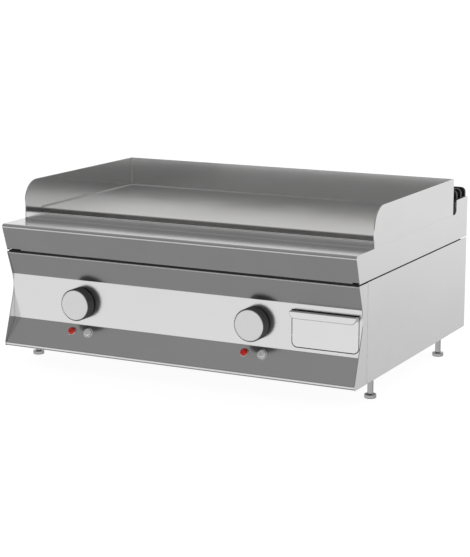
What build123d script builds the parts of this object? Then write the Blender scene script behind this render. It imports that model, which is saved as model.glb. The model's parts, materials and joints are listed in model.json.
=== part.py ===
"""Countertop flat top griddle (gas fry-top) with two cooking zones and a grease drawer.

Millimetres, +Z up, +X to the right when facing the controls, front towards -Y.
The origin is the centre of the footprint on the surface that the griddle stands on.
Depths (d) are counted back from the foremost edge, heights (h) from that surface.
"""
from build123d import *
import math
import os

# ---- driving dimensions -------------------------------------------------------------------
WIDTH = 800.0
DEPTH = 615.0
FOOT_HEIGHT = 40.0            # surface to the cabinet's bottom edge
CABINET_TOP = 240.0           # top edge of the cabinet side panels
MODULE_BOTTOM = 243.0         # lower edge of the upper module
LEDGE_HEIGHT = 300.0          # flat ledge in front of the trough
RIM_HEIGHT = 314.5            # raised rim between ledge and trough
PLATE_TOP = 314.8
SPLASH_TOP = 379.0
SHEET = 1.5                   # stainless sheet of the panels
FIT_GAP = 0.5                 # joint gap between neighbouring panels
MOVE_GAP = 0.3                # clearance between pieces that move past each other
RUN_GAP = 0.05                # radial clearance of a running fit

HALF_W = WIDTH / 2
INNER_X = HALF_W - SHEET      # inner face of the side panels

# worktop, front to back
FACE_FOOT = 17.0              # depth of the front face's lower edge
NOSING_DEPTH = -1.6           # where the face and the ledge would meet without the rounding
NOSING_ROUND = 6.0
BEND = 2.0
HEM_BEND = 1.8
HEM_FOOT = 4.0                # the hem ends this far above the ledge
SLOT_ROUND = 9.0              # foot of the notch between side panel and flue
GAP_NOTCH_HEIGHT = 3.0        # the top sheet's lower fold stops short of both ends
GAP_NOTCH_LEFT = 33.0
GAP_NOTCH_RIGHT = 13.0
LEDGE_BACK = 86.5             # outer face of the riser behind the ledge
HEM_DEPTH = 4.5               # folded hem on top of the riser
TROUGH_BACK = 144.0           # front face of the plate
PLATE_BACK = 524.0
PLATE_THICKNESS = 15.0
SPLASH_BACK = 526.0
FLUE_FRONT = 546.0
FLUE_SIDE_TOP = 331.0
SPLASH_SHEET = 2.0

# fascia facets, outer surface, as (depth, height)
FASCIA_TOP = (17.5, 238.5)
FACET_F = (36.0, 189.3)               # upper break; the middle facet below it is upright
FACET_G = (36.0, 94.9)                # lower break
FASCIA_NOSE = (2.0, 47.2)
FASCIA_BENDS = [2.0, 2.0, 2.5, 5.0, 3.4]
FASCIA_UNDER = 24.0                   # depth of the fold under the nose
RETURN_DEPTH = 30.0                   # how far back the folded edges at the gap reach

# cheeks
CHEEK_BACK = 58.0
CHEEK_GAP = 1.2                       # visible joint between cheek and side panel
CHEEK_TOP = 239.5
CHEEK_WAIST = (40.5, 167.5)           # meeting point of the two straight edges
CHEEK_TOE = (0.0, 48.0)
CHEEK_HEAD = (15.4, CHEEK_TOP)
CHEEK_SOLE = (0.8, FOOT_HEIGHT)
CHEEK_ROUND = 84.0
TOE_ROUND = 6.0

# knobs
KNOB_X = (-231.0, 170.2)
KNOB_DOWN = 48.0                      # down the middle facet from its upper break
KNOB_RADIUS = 33.3
KNOB_LIFT = 3.0                       # clear of the fascia, so it can be pushed in
KNOB_LENGTH = 22.2
KNOB_PUSH = 2.5
KNOB_WALL = 3.5
HUB_RADIUS = 8.0
CAP_RADIUS = 31.1
CAP_SEAT = 1.2
CAP_PROUD = 0.8
SHAFT_RADIUS = 4.0
SHAFT_END = 5.0                       # shaft stops this far behind the knob's front
RIB_COUNT = 48
RIB_GROOVE = 1.4
RIB_GROOVE_IN = 0.25                  # groove centre inside the knob's radius

# lamps and igniter buttons on the lower facet
LAMP_SHIFT = -18.4                    # sideways from the knob's axis
BUTTON_SHIFT = 21.3
LOWER_DOWN = 16.0                     # down the lower facet from its upper break
BUTTON_RADIUS = 8.0
BUTTON_PROUD = 6.5
BUTTON_SKIRT = 8.0                    # how deep the button's rim reaches into its housing
BUTTON_TRAVEL = 3.5
BUTTON_BORE = BUTTON_RADIUS + MOVE_GAP
BUTTON_STEM = 3.0
HOUSING_RADIUS = 9.4
HOUSING_DEPTH = 27.0
HOUSING_FLOOR = 5.0
HOUSING_FLANGE = 1.2
BEZEL_RADIUS = 9.6
BEZEL_HEIGHT = 2.0
LENS_RADIUS = 8.0
LENS_PROUD = 5.6
LENS_ROUND = 4.2
LENS_SEAT = 0.6
LAMP_DEPTH = 22.0
LAMP_WALL = 0.8

# grease drawer
DRAWER_X = (251.7, 391.2)
DRAWER_TOP_DOWN = 12.6                # along the middle facet
DRAWER_BOTTOM_DOWN = 85.7
DRAWER_GAP = 1.5
DRAWER_CORNER = 10.5
DRAWER_LENGTH = 420.0
DRAWER_PAN_BOTTOM = 104.6
DRAWER_PAN_TOP = 166.0
DRAWER_PAN_INSET = 6.0                # pan narrower than the front on each side
DRAWER_WALL = 1.2
DRAWER_FLANGE = 5.0
HANDLE_REACH = 15.0
HANDLE_LIP = 14.4
HANDLE_CORNER = 10.5
HANDLE_ROUND = 1.2
RUNNER_FRONT = 72.0
RUNNER_BACK = 470.0
RUNNER_CLEAR = 0.8                    # sideways, between pan and runner
RUNNER_LEDGE = 7.0
RUNNER_THICKNESS = 2.0
RUNNER_DROP = 20.0

# feet
FOOT_X = 388.0
FOOT_DEPTHS = (107.0, 484.0)
STUD_RADIUS = 6.0
STUD_TOP = 78.0
DISC_RADIUS = 12.0
DISC_HEIGHT = 8.0
DISC_ROUND = 1.5
NUT_RADIUS = 9.4
NUT_HEIGHT = 10.0

# grease trough
TROUGH_FLOOR = 270.0
TROUGH_BEND = 6.0
SPOUT_X = 317.0
SPOUT_DEPTH = 117.5
SPOUT_RADIUS = 20.0
SPOUT_BOTTOM = 180.0

# splash guard
SPLASH_CORNER = 44.0                  # rounding of the front top corners

# flue and its grille
DUCT_TOP = 327.0
DUCT_BOTTOM = 246.0
THROAT_HALF_X = 350.0
THROAT = (256.0, 290.0)
GRILLE_FINS = (554.0, 580.0, 606.0)
FIN_THICKNESS = 7.0
FIN_TOP = 350.5
FIN_ROUND = 10.0
GRILLE_HALF_X = 396.0
GRILLE_RIM = 7.0
GRILLE_BASE = 5.0
RIB_PITCH = 44.0
RIB_HALF = 2.5
RIBS_EACH_SIDE = 8
RIB_BELOW_FINS = 9.0
LUG_THICKNESS = 4.0
LUG_DROP = 8.0

# burner box and burners
ZONE_X = (-190.0, 190.0)
BURNER_HEIGHT = 235.0
BOX_HALF_X = 372.0
BOX_FRONT = 160.0
BOX_BACK = 522.0
BOX_FLOOR = 196.0
BOX_FLANGE = 18.0
AIR_SLOT = (120.0, 230.0, 460.0)      # half width, front and rear depth
MIXER_RADIUS = 13.0
MIXER_WALL = 2.0
MIXER_OUT = 22.0                      # mixing tube's mouth in front of the box
HEADER_HALF = 15.0
BURNER_TUBE_RADIUS = 12.0
BURNER_TUBE_SHIFTS = (-95.0, 0.0, 95.0)
BURNER_FRONT = 190.0
BURNER_REAR = 490.0
PORT_COUNT = 14
PORT_HALF = 8.0
PORT_WIDTH = 3.0
PORT_FLOOR = 7.0                      # ports are sawn down to this level above the axis
PORT_MARGIN = 20.0

# injectors
NOZZLE_GAP = 3.0
NOZZLE_RADIUS = 4.0
NOZZLE_BORE = 0.9
NOZZLE_LENGTH = 3.0
INJECTOR_HEX = 8.0
INJECTOR_LENGTH = 8.0

# valves, counted along the knob's axis from the middle facet
VALVE_FRONT = -8.0
VALVE_REAR = -60.0
VALVE_HALF = 21.0
VALVE_ROUND = 5.0
VALVE_NECK = 13.0
PLUNGER_RADIUS = 8.0
PLUNGER_FRONT = -18.0
PLUNGER_REAR = -34.0
PLUNGER_HEAD = 3.0
PLUNGER_TAIL = -44.0
PLUNGER_TAIL_RADIUS = 2.5
VALVE_BORE_END = -50.0
SHAFT_REAR = -30.5
VALVE_SPRING = (5.6, 0.8)             # coil radius and wire radius
IGNITER_SPRING = (5.3, 0.6)
SPRING_TURNS = 4
SPRING_REST = 0.4                     # left free at the end of the push

# gas pipes
MANIFOLD_RADIUS = 10.5
MANIFOLD_DEPTH = 78.0
MANIFOLD_HEIGHT = 113.0
MANIFOLD_WALL = 2.0
MANIFOLD_PAST = 40.0                  # how far the manifold runs past the right-hand valve
INLET_X = -330.0
ELBOW_HALF = 14.0
INLET_RUN_X = INLET_X - MANIFOLD_RADIUS - ELBOW_HALF
INLET_HEIGHT = 85.0
INLET_RADIUS = 10.5                   # half-inch pipe thread
INLET_THREAD = 24.0
INLET_BORE = 6.5
INLET_BORE_DEPTH = 60.0
INLET_SET = (300.0, 400.0)            # depths between which the pipe drops
INLET_BEND = 60.0
INLET_END = 4.0                       # thread stops this far inside the rear edge
FEED_DEPTH = 80.0
FEED_START = 150.0
FEED_TURN = 205.0
FEED_SHIFT = -10.0                    # sideways from the valve's axis
FEED_RADIUS = 4.0
FEED_BEND = 12.0

# sensing bulbs and pilot burners
BULB_SHIFT = 45.0                     # sideways from the middle of the zone
BULB_RADIUS = 4.0
BULB_LENGTH = 110.0
BULB_FRONT = 250.0
BULB_HEIGHT = PLATE_TOP - PLATE_THICKNESS - 4.3
CAPILLARY_RADIUS = 1.1
CAPILLARY_BEND = 10.0
CAPILLARY_DROP = 149.0                # depth at which it drops in front of the box
CAPILLARY_LEVEL = 215.0
CAPILLARY_END = (88.0, 155.0)         # depth and height inside the valve
CAPILLARY_SHIFT = 12.0
PILOT_SHIFT = -48.0
PILOT_HALF = 22.0
PILOT_FRONT = 172.5
PILOT_FOOT = 164.0
PILOT_SHEET = 2.0
PILOT_ABOVE = 22.0
PILOT_BELOW = 20.0
PILOT_RODS = ((0.0, 5.0, 30.0), (-14.0, 3.0, 26.0), (14.0, 3.0, 32.0))   # shift, radius, top

# rear of the cabinet
BACK_PANEL_FRONT = 583.0
UPPER_BACK_DROP = 4.0
SCREW_X = (-385.0, 0.0, 385.0)
SCREW_HEIGHTS = (56.0, 228.0)
SCREW_RADIUS = 4.5
SCREW_HEIGHT = 2.6
SCREW_ROUND = 1.6
SCREW_SLOT = (6.0, 1.1, 1.6)          # length, width and depth of the cross slots
LOUVRE_ROWS = 5
LOUVRE_COLUMNS = 4
LOUVRE_START = (-230.0, 150.0)        # X and height of the first louvre
LOUVRE_PITCH = (120.0, 14.0)
LOUVRE_SIZE = (90.0, 5.0)
TERMINAL_X = (300.0, 370.0)
TERMINAL_FRONT = 530.0
TERMINAL_HEIGHTS = (62.0, 112.0)
TERMINAL_ROUND = 3.0
GLAND_X = 335.0
GLAND_HEIGHT = 87.0
GLAND_STEM = 8.0
GLAND_HEX = 12.0
GLAND_HEX_LENGTH = 5.0
GLAND_DOME = 9.5
GLAND_LENGTH = 17.0
GLAND_BORE = 4.0

# floor panel and spacer
FLOOR_FRONT = 24.5
FOOT_HOLE_CLEAR = 0.5
FLOOR_SLOTS = 12
FLOOR_SLOT_START = -300.0
FLOOR_SLOT_PITCH = 36.0
FLOOR_SLOT_WIDTH = 6.0
FLOOR_SLOT_DEPTHS = (200.0, 420.0)
SIDE_FLANGE = 14.0
SPACER_HALF_X = 397.5
SPACER_FRONT = 31.0
SPACER_BACK = 582.0
SPACER_BOTTOM = 212.0
SPACER_WALL = 2.0
SPACER_TONGUE = 20.0          # depth to which its tongue fills the gap between the folds

SIDES = (("left", -1), ("right", 1))
ZONES = (("left", 0), ("right", 1))


# ---- helpers ------------------------------------------------------------------------------
def y_at(depth):
    """Frame Y of a depth counted back from the foremost edge."""
    return depth - DEPTH / 2


def block(x0, x1, d0, d1, h0, h1):
    """Box between two X values, two depths and two heights."""
    size = Box(x1 - x0, d1 - d0, h1 - h0)
    return Pos((x0 + x1) / 2, y_at((d0 + d1) / 2), (h0 + h1) / 2) * size


def across(face, x0, x1):
    """Extrude a depth-height face from x0 to x1."""
    return extrude(Plane.YZ.offset(x0) * face, x1 - x0)


def outline(points):
    """Closed polygon from (depth, height) points."""
    return make_face(Polyline(*[(y_at(d), h) for d, h in points], close=True))


def folded_sheet(points, radii, side, x0, x1, thickness=SHEET):
    """Sheet folded along a (depth, height) path; the path is its outer face."""
    path = FilletPolyline(*[(y_at(d), h) for d, h in points], radius=radii)
    return across(make_face(offset(path, thickness, side=side)), x0, x1)


def slope_plane(x, start, end, down):
    """Plane on the fascia facet from start to end; its Z is the outward normal."""
    length = math.dist(start, end)
    along = ((end[0] - start[0]) / length, (end[1] - start[1]) / length)
    place = (x, y_at(start[0] + along[0] * down), start[1] + along[1] * down)
    return Plane(origin=place, x_dir=(1, 0, 0), z_dir=(0, along[1], -along[0]))


def rod(radius, low, high):
    """Cylinder along local Z between two levels."""
    return Pos(0, 0, (low + high) / 2) * Cylinder(radius, high - low)


def ring(outer, inner, low, high):
    """Tube along local Z between two levels."""
    return rod(outer, low, high) - rod(inner, low - 1, high + 1)


def pipe(points, bend, radius):
    """Round bar along straight runs joined by tangent arcs."""
    corners = len(points) - 2
    path = FilletPolyline(*points, radius=[bend] * corners)
    start = Plane(origin=path @ 0, z_dir=path % 0)
    return sweep(start * Circle(radius), path)


def coil(radius, wire, low, high, turns):
    """Open coil spring along local Z, standing between two levels."""
    pitch = (high - low - 2 * wire) / turns
    path = Helix(pitch, high - low - 2 * wire, radius)
    start = Plane(origin=path @ 0, z_dir=path % 0)
    return Pos(0, 0, low + wire) * sweep(start * Circle(wire), path, is_frenet=True)


def mirrored(shape):
    """The same piece for the other side of the griddle."""
    return mirror(shape, about=Plane.YZ)


# ---- upper module -------------------------------------------------------------------------
def top_sheet():
    """Front face, rolled nosing, ledge and hemmed riser, bent from one sheet."""
    nosing_corner = (NOSING_DEPTH, LEDGE_HEIGHT)
    hem_back = LEDGE_BACK + HEM_DEPTH
    path = [(RETURN_DEPTH, MODULE_BOTTOM), (FACE_FOOT, MODULE_BOTTOM), nosing_corner,
            (LEDGE_BACK, LEDGE_HEIGHT), (LEDGE_BACK, RIM_HEIGHT), (hem_back, RIM_HEIGHT),
            (hem_back, LEDGE_HEIGHT + HEM_FOOT)]
    radii = [BEND, NOSING_ROUND, BEND, HEM_BEND, HEM_BEND]
    sheet = folded_sheet(path, radii, Side.RIGHT, -INNER_X, INNER_X)
    notch_top = MODULE_BOTTOM + GAP_NOTCH_HEIGHT
    sheet -= block(-INNER_X - 1, -INNER_X + GAP_NOTCH_LEFT, 0, RETURN_DEPTH + 1,
                   MODULE_BOTTOM - 1, notch_top)
    sheet -= block(INNER_X - GAP_NOTCH_RIGHT, INNER_X + 1, 0, RETURN_DEPTH + 1,
                   MODULE_BOTTOM - 1, notch_top)
    beside_splash = HALF_W - SPLASH_SHEET
    for sign in (-1, 1):
        edge = sorted((sign * beside_splash, sign * (INNER_X + 1)))
        sheet -= block(edge[0], edge[1], LEDGE_BACK - 0.5, hem_back + 1,
                       LEDGE_HEIGHT + 1, RIM_HEIGHT + 1)
    return sheet


def grease_trough():
    """Channel between the rim and the plate, with end walls and a drain spout."""
    front = LEDGE_BACK + HEM_DEPTH
    floor = TROUGH_FLOOR
    rear_top = PLATE_TOP - PLATE_THICKNESS - FIT_GAP / 2
    path = [(front, RIM_HEIGHT - 2), (front, floor), (TROUGH_BACK, floor), (TROUGH_BACK, rear_top)]
    reach = INNER_X - 2 * FIT_GAP
    trough = folded_sheet(path, [TROUGH_BEND] * 2, Side.LEFT, -reach, reach)
    end_face = outline([(front + SHEET, floor + SHEET), (TROUGH_BACK - SHEET, floor + SHEET),
                        (TROUGH_BACK - SHEET, rear_top), (front + SHEET, rear_top)])
    wall = across(end_face, reach - SHEET, reach)
    drain = Pos(SPOUT_X, y_at(SPOUT_DEPTH), 0)
    trough = trough + wall + mirrored(wall) + drain * rod(SPOUT_RADIUS, SPOUT_BOTTOM, floor)
    return trough - drain * rod(SPOUT_RADIUS - SHEET, SPOUT_BOTTOM - 1, floor + 2 * SHEET)


def griddle_plate():
    """Solid cooking plate with eased top edges."""
    side = HALF_W - SPLASH_SHEET - MOVE_GAP
    plate = block(-side, side, TROUGH_BACK, PLATE_BACK, PLATE_TOP - PLATE_THICKNESS, PLATE_TOP)
    front_edge = plate.edges().filter_by(Axis.X).group_by(Axis.Y)[0].sort_by(Axis.Z)[-1]
    return fillet(front_edge, 2.0)


def splash_guard():
    """One sheet bent round three sides of the plate, with rounded front top corners."""
    base = LEDGE_HEIGHT + 1
    front = LEDGE_BACK - 0.5
    corner = SPLASH_CORNER
    outer = block(-HALF_W, HALF_W, front, SPLASH_BACK + SPLASH_SHEET, base, SPLASH_TOP)
    back_edges = outer.edges().filter_by(Axis.Z).group_by(Axis.Y)[-1]
    outer = fillet(back_edges, 4.0)
    reach = HALF_W - SPLASH_SHEET
    inner = block(-reach, reach, front - 10, SPLASH_BACK, base - 1, SPLASH_TOP + 1)
    inner_edges = inner.edges().filter_by(Axis.Z).group_by(Axis.Y)[-1]
    inner = fillet(inner_edges, 2.0)
    guard = outer - inner
    remove = across(outline([(front, SPLASH_TOP - corner), (front, SPLASH_TOP),
                             (front + corner, SPLASH_TOP)]), -HALF_W, HALF_W)
    round_off = Plane.YZ.offset(-HALF_W) * Pos(y_at(front + corner), SPLASH_TOP - corner)
    keep = extrude(round_off * Circle(corner), WIDTH)
    square = block(-HALF_W, HALF_W, front, front + corner, SPLASH_TOP - corner, SPLASH_TOP)
    return guard - (square + remove - keep)


def upper_side():
    """Side panel of the upper module, stepped up to the flue (right-hand one)."""
    panel_top = LEDGE_HEIGHT + 1
    behind_splash = LEDGE_BACK - FIT_GAP
    panel = across(outline([(FACE_FOOT, MODULE_BOTTOM), (NOSING_DEPTH, LEDGE_HEIGHT),
                            (behind_splash, LEDGE_HEIGHT), (behind_splash, panel_top),
                            (FLUE_FRONT, panel_top), (FLUE_FRONT, FLUE_SIDE_TOP),
                            (DEPTH, FLUE_SIDE_TOP), (DEPTH, MODULE_BOTTOM)]), INNER_X, HALF_W)
    nose = panel.edges().filter_by(Axis.X).sort_by(Axis.Y)[0]
    panel = fillet(nose, NOSING_ROUND)
    foot_of_slot = (INNER_X, y_at(FLUE_FRONT), panel_top)
    slot = panel.edges().filter_by(Axis.X).sort_by_distance(foot_of_slot)[0]
    return fillet(slot, SLOT_ROUND)


def upper_back():
    """Rear panel of the upper module, closing the flue's back."""
    top = FLUE_SIDE_TOP - UPPER_BACK_DROP
    return block(-INNER_X, INNER_X, DEPTH - SHEET, DEPTH, MODULE_BOTTOM, top)


def flue_duct():
    """Upright duct across the rear, fed through a throat from the burner box."""
    back = DEPTH - SHEET
    duct = block(-INNER_X + 0.5, INNER_X - 0.5, FLUE_FRONT, back, DUCT_BOTTOM, DUCT_TOP)
    inner_x = INNER_X - 0.5 - SHEET
    duct -= block(-inner_x, inner_x, FLUE_FRONT + SHEET, back - SHEET,
                  DUCT_BOTTOM + SHEET, DUCT_TOP + 1)
    duct += block(-THROAT_HALF_X, THROAT_HALF_X, BOX_BACK, FLUE_FRONT, *THROAT)
    low, high = THROAT
    duct -= block(-THROAT_HALF_X + SHEET, THROAT_HALF_X - SHEET, BOX_BACK - 1,
                  FLUE_FRONT + SHEET + 1, low + SHEET, high - SHEET)
    gutter = LEDGE_HEIGHT + 1
    duct += block(-INNER_X + 0.5, INNER_X - 0.5, SPLASH_BACK, FLUE_FRONT,
                  gutter - SHEET, gutter)
    return duct


def flue_grille():
    """Cast cover of the flue: frame, long fins with rounded ends, and cross ribs."""
    front = FLUE_FRONT + 0.8
    back = DEPTH - 2.0
    base_top = DUCT_TOP + GRILLE_BASE
    rim = GRILLE_RIM
    grille = block(-GRILLE_HALF_X, GRILLE_HALF_X, front, back, DUCT_TOP, base_top)
    grille -= block(-GRILLE_HALF_X + rim, GRILLE_HALF_X - rim, front + rim, back - rim,
                    DUCT_TOP - 1, base_top + 1)
    for start in GRILLE_FINS:
        fin = block(-GRILLE_HALF_X, GRILLE_HALF_X, start, start + FIN_THICKNESS,
                    DUCT_TOP, FIN_TOP)
        corners = fin.edges().filter_by(Axis.Y).group_by(Axis.Z)[-1]
        grille += fillet(corners, FIN_ROUND)
    for index in range(-RIBS_EACH_SIDE, RIBS_EACH_SIDE + 1):
        middle = index * RIB_PITCH
        grille += block(middle - RIB_HALF, middle + RIB_HALF, front, back - 1,
                        DUCT_TOP, FIN_TOP - RIB_BELOW_FINS)
    lug_x = INNER_X - FIT_GAP - SHEET - 1
    inset = SHEET + LUG_DROP
    lug = block(lug_x - LUG_THICKNESS, lug_x, FLUE_FRONT + inset, back - inset,
                DUCT_TOP - LUG_DROP, DUCT_TOP + 1)
    return grille + lug + mirrored(lug)


def burner_box():
    """Open-topped combustion chamber under the plate, with air slots in its floor."""
    top = PLATE_TOP - PLATE_THICKNESS
    box = block(-BOX_HALF_X, BOX_HALF_X, BOX_FRONT, BOX_BACK, BOX_FLOOR, top)
    box -= block(-BOX_HALF_X + SHEET, BOX_HALF_X - SHEET, BOX_FRONT + SHEET,
                 BOX_BACK - SHEET, BOX_FLOOR + SHEET, top + 1)
    low, high = THROAT
    box -= block(-THROAT_HALF_X + SHEET, THROAT_HALF_X - SHEET, BOX_BACK - SHEET - 1,
                 BOX_BACK + 1, low + SHEET, high - SHEET)
    for sign in (-1, 1):
        edge = sorted((sign * BOX_HALF_X, sign * (BOX_HALF_X + BOX_FLANGE)))
        box += block(edge[0], edge[1], BOX_FRONT, BOX_BACK, top - SHEET, top)
    slot_half, slot_front, slot_back = AIR_SLOT
    bulb_slot = BULB_RADIUS - 1
    for zone in ZONE_X:
        box -= block(zone - slot_half, zone + slot_half, slot_front, slot_back,
                     BOX_FLOOR - 1, BOX_FLOOR + SHEET + 1)
        mixer = Plane(origin=(zone, y_at(BOX_FRONT), BURNER_HEIGHT), z_dir=(0, 1, 0))
        box -= mixer * rod(MIXER_RADIUS + 1, -1, SHEET + 1)
        bulb_x = zone + BULB_SHIFT
        box -= block(bulb_x - bulb_slot, bulb_x + bulb_slot, BOX_FRONT - 1,
                     BOX_FRONT + SHEET + 1, BULB_HEIGHT - bulb_slot, top + 1)
    return box


# ---- gas train ----------------------------------------------------------------------------

def burner(zone):
    """Three ported tubes on a square header, fed by a mixing tube from the front."""
    reach = BURNER_TUBE_SHIFTS[-1] + HEADER_HALF
    body = block(zone - reach, zone + reach, BURNER_FRONT - HEADER_HALF,
                 BURNER_FRONT + HEADER_HALF, BURNER_HEIGHT - HEADER_HALF,
                 BURNER_HEIGHT + HEADER_HALF)
    start = BURNER_FRONT + HEADER_HALF
    length = BURNER_REAR - start
    port_pitch = (length - 2 * PORT_MARGIN) / PORT_COUNT
    for shift in BURNER_TUBE_SHIFTS:
        middle = zone + shift
        place = Plane(origin=(middle, y_at(start), BURNER_HEIGHT), z_dir=(0, 1, 0))
        body += place * rod(BURNER_TUBE_RADIUS, -1, length)
        for index in range(PORT_COUNT):
            depth = start + PORT_MARGIN + index * port_pitch
            body -= block(middle - PORT_HALF, middle + PORT_HALF, depth, depth + PORT_WIDTH,
                          BURNER_HEIGHT + PORT_FLOOR, BURNER_HEIGHT + BURNER_TUBE_RADIUS + 1)
    mouth = BOX_FRONT - MIXER_OUT
    run = BURNER_FRONT - HEADER_HALF + 1 - mouth
    mixer = Plane(origin=(zone, y_at(mouth), BURNER_HEIGHT), z_dir=(0, 1, 0))
    body += mixer * rod(MIXER_RADIUS, 0, run)
    return body - mixer * rod(MIXER_RADIUS - MIXER_WALL, -1, run - 2 * MIXER_WALL)


def injectors():
    """Brass injector in front of each mixing tube."""
    result = []
    for zone in ZONE_X:
        nose = y_at(BOX_FRONT - MIXER_OUT - NOZZLE_GAP)
        place = Plane(origin=(zone, nose, BURNER_HEIGHT), z_dir=(0, -1, 0))
        hexagon = extrude(RegularPolygon(INJECTOR_HEX, 6), INJECTOR_LENGTH)
        body = Pos(0, 0, NOZZLE_LENGTH) * hexagon + rod(NOZZLE_RADIUS, 0, NOZZLE_LENGTH)
        result.append(place * (body - rod(NOZZLE_BORE, -1, INJECTOR_LENGTH)))
    return result


def knob_plane(zone):
    """Plane on the middle facet, centred on a knob's axis."""
    return slope_plane(KNOB_X[zone], FACET_F, FACET_G, KNOB_DOWN)


def gas_valve(zone):
    """Valve body behind the fascia, bored for its plunger."""
    middle = Pos(0, 0, (VALVE_FRONT + VALVE_REAR) / 2)
    body = middle * Box(2 * VALVE_HALF, 2 * VALVE_HALF, VALVE_FRONT - VALVE_REAR)
    body = fillet(body.edges().filter_by(Axis.Z), VALVE_ROUND)
    body += rod(VALVE_NECK, VALVE_FRONT, -SHEET - FIT_GAP)
    body -= rod(PLUNGER_RADIUS, VALVE_BORE_END, VALVE_FRONT - 4)
    body -= rod(SHAFT_RADIUS + SHEET, VALVE_FRONT - 5, 0)
    return knob_plane(zone) * body - manifold_bar()


def manifold_run(radius, start, end):
    """Round bar along the manifold's axis between two X values."""
    place = Plane(origin=(0, y_at(MANIFOLD_DEPTH), MANIFOLD_HEIGHT), z_dir=(1, 0, 0))
    return place * rod(radius, start, end)


def manifold_bar():
    """Solid outline of the manifold, used to seat the valves on it."""
    return manifold_run(MANIFOLD_RADIUS, INLET_X, KNOB_X[1] + MANIFOLD_PAST)


def gas_manifold():
    """Supply pipe across the front, under the two valves."""
    end = KNOB_X[1] + MANIFOLD_PAST - 2 * MANIFOLD_WALL
    return manifold_bar() - manifold_run(MANIFOLD_RADIUS - MANIFOLD_WALL, INLET_X + ELBOW_HALF, end)


def gas_inlet_pipe():
    """Pipe from the manifold's left end to the threaded inlet at the rear."""
    run = INLET_RUN_X
    elbow = block(run - ELBOW_HALF, INLET_X, MANIFOLD_DEPTH - ELBOW_HALF,
                  MANIFOLD_DEPTH + ELBOW_HALF, MANIFOLD_HEIGHT - ELBOW_HALF,
                  MANIFOLD_HEIGHT + ELBOW_HALF)
    end = y_at(DEPTH - INLET_END)
    path = [(run, y_at(MANIFOLD_DEPTH + ELBOW_HALF), MANIFOLD_HEIGHT),
            (run, y_at(INLET_SET[0]), MANIFOLD_HEIGHT), (run, y_at(INLET_SET[1]), INLET_HEIGHT),
            (run, end, INLET_HEIGHT)]
    tube = pipe(path, INLET_BEND, INLET_RADIUS - MANIFOLD_WALL)
    outlet = Plane(origin=(run, end, INLET_HEIGHT), z_dir=(0, -1, 0))
    thread = outlet * rod(INLET_RADIUS, 0, INLET_THREAD)
    return elbow + tube + thread - outlet * rod(INLET_BORE, -1, INLET_BORE_DEPTH)


def plunger(zone):
    """Sliding sleeve that carries the knob's shaft and opens the valve when pushed."""
    outer = PLUNGER_RADIUS - RUN_GAP
    head = PLUNGER_REAR + PLUNGER_HEAD
    sleeve = ring(outer, SHAFT_RADIUS + RUN_GAP, head - 1, PLUNGER_FRONT)
    tail = rod(PLUNGER_TAIL_RADIUS, PLUNGER_TAIL, head) + rod(outer, PLUNGER_REAR, head)
    return knob_plane(zone) * (sleeve + tail)


def valve_spring(zone):
    """Return spring behind the plunger, at its pressed length."""
    radius, wire = VALVE_SPRING
    front = PLUNGER_REAR - KNOB_PUSH - SPRING_REST
    return knob_plane(zone) * coil(radius, wire, VALVE_BORE_END, front, SPRING_TURNS)


def shaft_flat():
    """What the flat takes off the shaft inside the knob's hub."""
    front = KNOB_LIFT + KNOB_LENGTH
    middle = Pos(0, SHAFT_RADIUS, (KNOB_LIFT + front) / 2)
    return middle * Box(2 * HUB_RADIUS, SHAFT_RADIUS / 2, KNOB_LENGTH)


def knob_shaft(zone):
    """Valve shaft with a flat, from the plunger to the knob's hub."""
    shaft = rod(SHAFT_RADIUS, SHAFT_REAR, KNOB_LIFT + KNOB_LENGTH - SHAFT_END)
    return knob_plane(zone) * (shaft - shaft_flat())


def knob(zone):
    """Ribbed skirt with a hub for the shaft and a shallow seat for the cap disc."""
    front = KNOB_LIFT + KNOB_LENGTH
    body = rod(KNOB_RADIUS, KNOB_LIFT, front)
    body -= rod(CAP_RADIUS, front - CAP_SEAT, front + 1)
    body -= rod(KNOB_RADIUS - KNOB_WALL, KNOB_LIFT - 1, front - SHAFT_END + FIT_GAP)
    body += rod(HUB_RADIUS, KNOB_LIFT, front - SHAFT_END + 1)
    body -= rod(SHAFT_RADIUS, KNOB_LIFT - 1, front - SHAFT_END) - shaft_flat()
    groove = Pos(KNOB_RADIUS - RIB_GROOVE_IN, 0, KNOB_LIFT + KNOB_LENGTH / 2)
    groove = groove * Cylinder(RIB_GROOVE, KNOB_LENGTH + 2)
    body -= [Rot(0, 0, index * 360 / RIB_COUNT) * groove for index in range(RIB_COUNT)]
    return knob_plane(zone) * body


def knob_cap(zone):
    """Spun metal disc set into the knob's front."""
    front = KNOB_LIFT + KNOB_LENGTH
    disc = rod(CAP_RADIUS - RUN_GAP, front - CAP_SEAT, front + CAP_PROUD)
    rim = disc.edges().filter_by(GeomType.CIRCLE).sort_by(Axis.Z)[-1]
    return knob_plane(zone) * fillet(rim, CAP_PROUD - 0.1)


def thermostat_bulbs():
    """Sensing bulb under each zone of the plate with its capillary to the valve."""
    result = []
    for zone, x in enumerate(ZONE_X):
        bulb_x = x + BULB_SHIFT
        end_x = KNOB_X[zone] + CAPILLARY_SHIFT
        place = Plane(origin=(bulb_x, y_at(BULB_FRONT), BULB_HEIGHT), z_dir=(0, 1, 0))
        bulb = place * rod(BULB_RADIUS, 0, BULB_LENGTH)
        end_y = y_at(CAPILLARY_END[0])
        drop_y = y_at(CAPILLARY_DROP)
        route = [(bulb_x, y_at(BULB_FRONT), BULB_HEIGHT), (bulb_x, drop_y, BULB_HEIGHT),
                 (bulb_x, drop_y, CAPILLARY_LEVEL), (end_x, end_y, CAPILLARY_LEVEL),
                 (end_x, end_y, CAPILLARY_END[1])]
        capillary = pipe(route, CAPILLARY_BEND, CAPILLARY_RADIUS)
        result.append(bulb + capillary - gas_valve(zone))
    return result


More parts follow.
